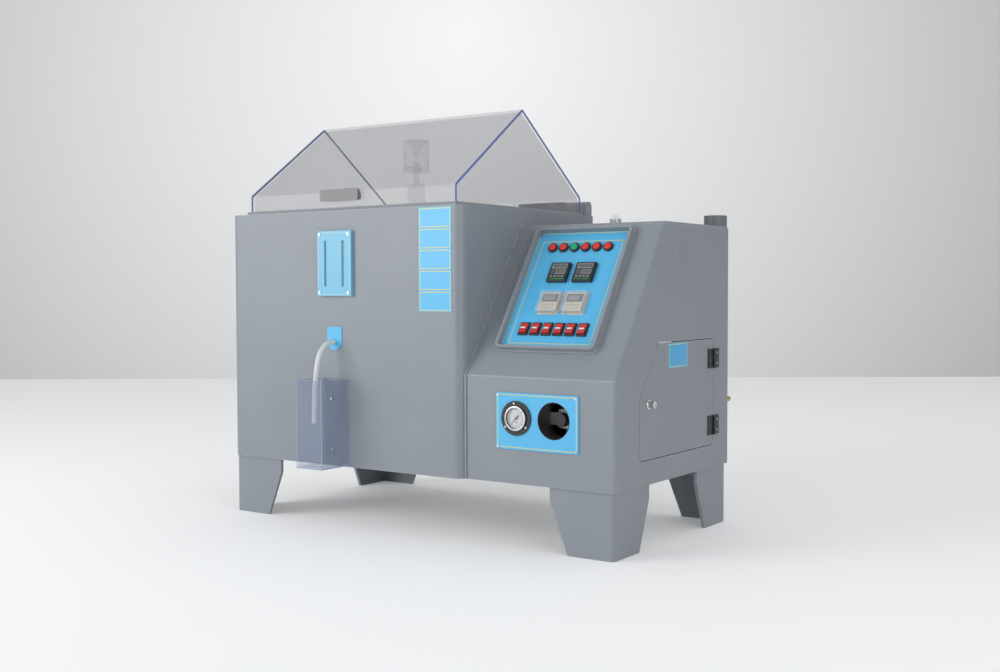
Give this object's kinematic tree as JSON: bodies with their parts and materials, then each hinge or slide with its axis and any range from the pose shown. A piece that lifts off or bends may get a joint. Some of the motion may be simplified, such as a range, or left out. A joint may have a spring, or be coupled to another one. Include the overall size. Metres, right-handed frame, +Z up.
{
  "type": "environmental test chamber",
  "caption": "Salt fog corrosion test cabinet: plastic chamber under a hinged clear gabled cover, beside a control box with sloping panel, on angle legs.",
  "frame": {"origin": "on the floor, under the middle of the overall box without the drain hose", "axes": "+X to the right along the front, +Y to the back, +Z up; the front with the panel faces -Y"},
  "size_m": [1.086, 0.702, 0.9628],
  "materials": {
    "grey_pvc": "grey sheet plastic, satin, with welded seams",
    "white_pvc": "pale sheet plastic, satin",
    "clear_plastic": "clear plastic sheet with a blue tint and bright cut edges",
    "blue_plate": "light blue laminate with thin yellow border lines, otherwise bare",
    "blue_sight_plate": "light blue plate",
    "black_plastic": "black moulded plastic",
    "red_plastic": "red translucent plastic",
    "lamp_plastic": "red and green translucent plastic",
    "white_silicone": "translucent white silicone",
    "steel": "stainless steel",
    "chrome": "polished chrome",
    "brass": "machined brass",
    "gauge_face": "black case with a white dial",
    "aluminium": "cast and painted aluminium",
    "titanium": "dull heater sheath",
    "ivory_plastic": "ivory moulded plastic"
  },
  "bodies": {
    "body": {"chamber_shell": "grey_pvc", "seal_trough": "grey_pvc", "inner_tank": "grey_pvc", "legs": "grey_pvc", "cover_bearings": "grey_pvc", "cover_hinge_pins": "steel", "tower_base": "clear_plastic", "tower_tube": "clear_plastic", "specimen_rack": "white_pvc", "fog_collectors": "clear_plastic", "tank_heater": "titanium", "brine_tank": "white_pvc", "face_plates": "blue_plate", "sight_plate": "blue_sight_plate", "sight_tubes": "clear_plastic", "drain_hose": "white_silicone", "overflow_trough": "clear_plastic", "control_shell": "grey_pvc", "panel_frame": "grey_pvc", "panel_plate": "blue_plate", "lamp_bezels": "black_plastic", "lamp_lenses": "lamp_plastic", "controllers": "black_plastic", "timers": "ivory_plastic", "rocker_frames": "black_plastic", "gauge_case": "gauge_face", "gauge_lens": "clear_plastic", "gauge_bezel": "chrome", "regulator_sleeve": "black_plastic", "regulator_body": "aluminium", "door_hinge_fixed": "black_plastic", "saturator_barrel": "aluminium", "air_lines": "white_pvc", "electrics": "ivory_plastic", "exhaust_pipe": "white_pvc", "rear_panel": "grey_pvc", "rear_fittings": "brass", "drain_valve": "brass", "screws": "steel"},
    "cover": {"cover_panels": "clear_plastic", "cover_handle": "clear_plastic", "cover_knuckles": "grey_pvc"},
    "tower_cap": {"tower_cap": "clear_plastic"},
    "side_door": {"side_door": "grey_pvc", "door_hinge_moving": "black_plastic", "door_lock_body": "chrome"},
    "door_lock": {"door_lock_plug": "chrome"},
    "gauge_needle": {"gauge_needle": "black_plastic"},
    "regulator_stem": {"regulator_stem": "steel"},
    "regulator_knob": {"regulator_knob": "black_plastic"},
    "filler_cap": {"filler_cap": "clear_plastic"},
    "drain_lever": {"drain_lever": "red_plastic"},
    "timer_cover_1": {"timer_cover_1": "clear_plastic"},
    "timer_cover_2": {"timer_cover_2": "clear_plastic"},
    "rocker_1": {"rocker_1": "red_plastic"},
    "rocker_2": {"rocker_2": "red_plastic"},
    "rocker_3": {"rocker_3": "red_plastic"},
    "rocker_4": {"rocker_4": "red_plastic"},
    "rocker_5": {"rocker_5": "red_plastic"},
    "rocker_6": {"rocker_6": "red_plastic"}
  },
  "joints": [
    {"name": "cover_hinge", "type": "hinge", "parent": "body", "child": "cover", "pos_m": [-0.1735, 0.288, 0.7485], "axis": [-1, 0, 0], "range_deg": [0, 100]},
    {"name": "tower_cap_height", "type": "slide", "parent": "body", "child": "tower_cap", "axis": [0, 0, 1], "range_m": [-0.01, 0.008]},
    {"name": "side_door_hinge", "type": "hinge", "parent": "body", "child": "side_door", "pos_m": [0.5308, 0.20888, 0.3115], "axis": [0, 0, 1], "range_deg": [0, 115]},
    {"name": "door_lock_turn", "type": "hinge", "parent": "side_door", "child": "door_lock", "pos_m": [0.527, -0.1063, 0.3065], "axis": [1, 0, 0], "range_deg": [0, 90]},
    {"name": "gauge_needle_turn", "type": "hinge", "parent": "body", "child": "gauge_needle", "pos_m": [0.294, -0.251, 0.277], "axis": [0, 1, 0], "range_deg": [0, 270], "stiffness_Nm_per_rad": 0.0001, "springref_deg": -28.65},
    {"name": "regulator_turn", "type": "hinge", "parent": "body", "child": "regulator_stem", "pos_m": [0.3852, -0.201, 0.276], "axis": [0, 1, 0], "range_deg": [-720, 720]},
    {"name": "regulator_knob_pull", "type": "slide", "parent": "regulator_stem", "child": "regulator_knob", "axis": [0, -1, 0], "range_m": [0, 0.003]},
    {"name": "filler_cap_lift", "type": "slide", "parent": "body", "child": "filler_cap", "axis": [0, 0, 1], "range_m": [0, 0.05]},
    {"name": "drain_lever_turn", "type": "hinge", "parent": "body", "child": "drain_lever", "pos_m": [-0.423, 0.334, 0.193], "axis": [0, 0, 1], "range_deg": [0, 90]},
    {"name": "timer_cover_1_flip", "type": "hinge", "parent": "body", "child": "timer_cover_1", "pos_m": [0.3167, -0.13951, 0.53884], "axis": [-1, 0, 0], "range_deg": [0, 110]},
    {"name": "timer_cover_2_flip", "type": "hinge", "parent": "body", "child": "timer_cover_2", "pos_m": [0.3783, -0.13951, 0.53884], "axis": [-1, 0, 0], "range_deg": [0, 110]},
    {"name": "rocker_1_tilt", "type": "hinge", "parent": "body", "child": "rocker_1", "pos_m": [0.2723, -0.18786, 0.46234], "axis": [1, 0, 0], "range_deg": [0, 20]},
    {"name": "rocker_2_tilt", "type": "hinge", "parent": "body", "child": "rocker_2", "pos_m": [0.3013, -0.18786, 0.46234], "axis": [1, 0, 0], "range_deg": [0, 20]},
    {"name": "rocker_3_tilt", "type": "hinge", "parent": "body", "child": "rocker_3", "pos_m": [0.3303, -0.18786, 0.46234], "axis": [1, 0, 0], "range_deg": [0, 20]},
    {"name": "rocker_4_tilt", "type": "hinge", "parent": "body", "child": "rocker_4", "pos_m": [0.3593, -0.18786, 0.46234], "axis": [1, 0, 0], "range_deg": [0, 20]},
    {"name": "rocker_5_tilt", "type": "hinge", "parent": "body", "child": "rocker_5", "pos_m": [0.3883, -0.18786, 0.46234], "axis": [1, 0, 0], "range_deg": [0, 20]},
    {"name": "rocker_6_tilt", "type": "hinge", "parent": "body", "child": "rocker_6", "pos_m": [0.4173, -0.18786, 0.46234], "axis": [1, 0, 0], "range_deg": [0, 20]}
  ]
}
